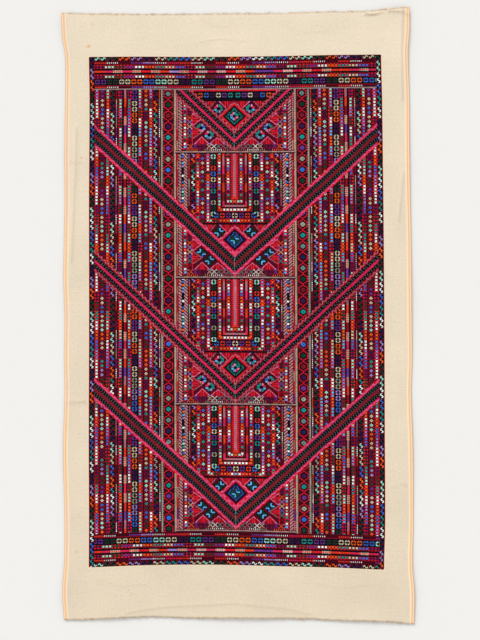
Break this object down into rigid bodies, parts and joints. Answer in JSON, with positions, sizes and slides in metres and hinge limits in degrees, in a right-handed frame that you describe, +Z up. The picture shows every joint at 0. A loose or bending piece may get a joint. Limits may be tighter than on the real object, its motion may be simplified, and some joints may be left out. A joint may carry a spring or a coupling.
{
  "type": "embroidered cloth panel",
  "caption": "Flat cotton cloth panel with striped selvedges, raw cut ends and a dense counted-thread embroidered field with chevrons and lozenges.",
  "frame": {"origin": "under the middle of the panel, on the surface that it lies on", "axes": "+X across the cloth to the right of the worked face, +Y along the warp to the top end, +Z up out of the worked face"},
  "size_m": [0.4295, 0.75, 0.0063],
  "materials": {
    "ground_cotton": "undyed plain-weave cotton, matt, with a thin orange stripe in each ivory selvedge",
    "embroidery_thread": "close counted stitches in softly shining many-coloured thread, mostly crimson, maroon and black"
  },
  "bodies": {
    "root": {"ground_cloth": "ground_cotton", "embroidered_field": "embroidery_thread"}
  },
  "joints": []
}
